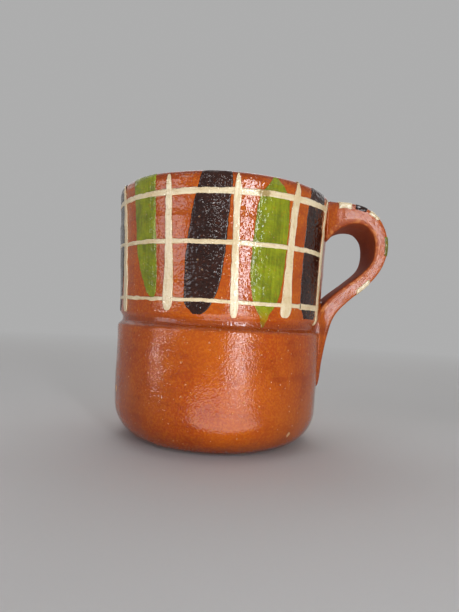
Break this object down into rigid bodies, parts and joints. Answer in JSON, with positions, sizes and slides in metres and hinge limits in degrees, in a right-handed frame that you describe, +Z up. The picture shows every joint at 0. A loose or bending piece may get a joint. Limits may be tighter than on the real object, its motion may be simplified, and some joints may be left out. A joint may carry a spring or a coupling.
{
  "type": "clay mug",
  "caption": "Straight-sided glazed clay mug with a turned groove round its waist, a strap handle level with the rim and a brushed plaid of cream, green and brown slip.",
  "frame": {"origin": "centre of the flat base, on the table", "axes": "+Z up along the mug's axis, +X out through the middle of the handle, -Y the side with the handle to its right"},
  "size_m": [0.1021, 0.0806, 0.0906],
  "materials": {
    "glazed_clay": "gloss clear glaze over orange-brown earthenware",
    "luting_slip": "fired clay slip under the glaze",
    "cream_slip": "glossy brushed slip",
    "green_slip": "glossy brushed slip",
    "brown_slip": "glossy brushed slip"
  },
  "bodies": {
    "root": {"brown_stroke_1": "brown_slip", "brown_stroke_2": "brown_slip", "brown_stroke_3": "brown_slip", "brown_stroke_4": "brown_slip", "brown_stroke_5": "brown_slip", "cream_bar_01": "cream_slip", "cream_bar_02": "cream_slip", "cream_bar_03": "cream_slip", "cream_bar_04": "cream_slip", "cream_bar_05": "cream_slip", "cream_bar_06": "cream_slip", "cream_bar_07": "cream_slip", "cream_bar_08": "cream_slip", "cream_bar_09": "cream_slip", "cream_bar_10": "cream_slip", "cream_bar_11": "cream_slip", "cream_ring_lower": "cream_slip", "cream_ring_middle": "cream_slip", "cream_ring_upper": "cream_slip", "green_stroke_1": "green_slip", "green_stroke_2": "green_slip", "green_stroke_3": "green_slip", "green_stroke_4": "green_slip", "green_stroke_5": "green_slip", "handle": "glazed_clay", "handle_brown_dab": "brown_slip", "handle_cream_dab_1": "cream_slip", "handle_cream_dab_2": "cream_slip", "handle_cream_dab_3": "cream_slip", "handle_green_dab": "green_slip", "lower_lute": "luting_slip", "mug_body": "glazed_clay", "upper_lute": "luting_slip"}
  },
  "joints": []
}
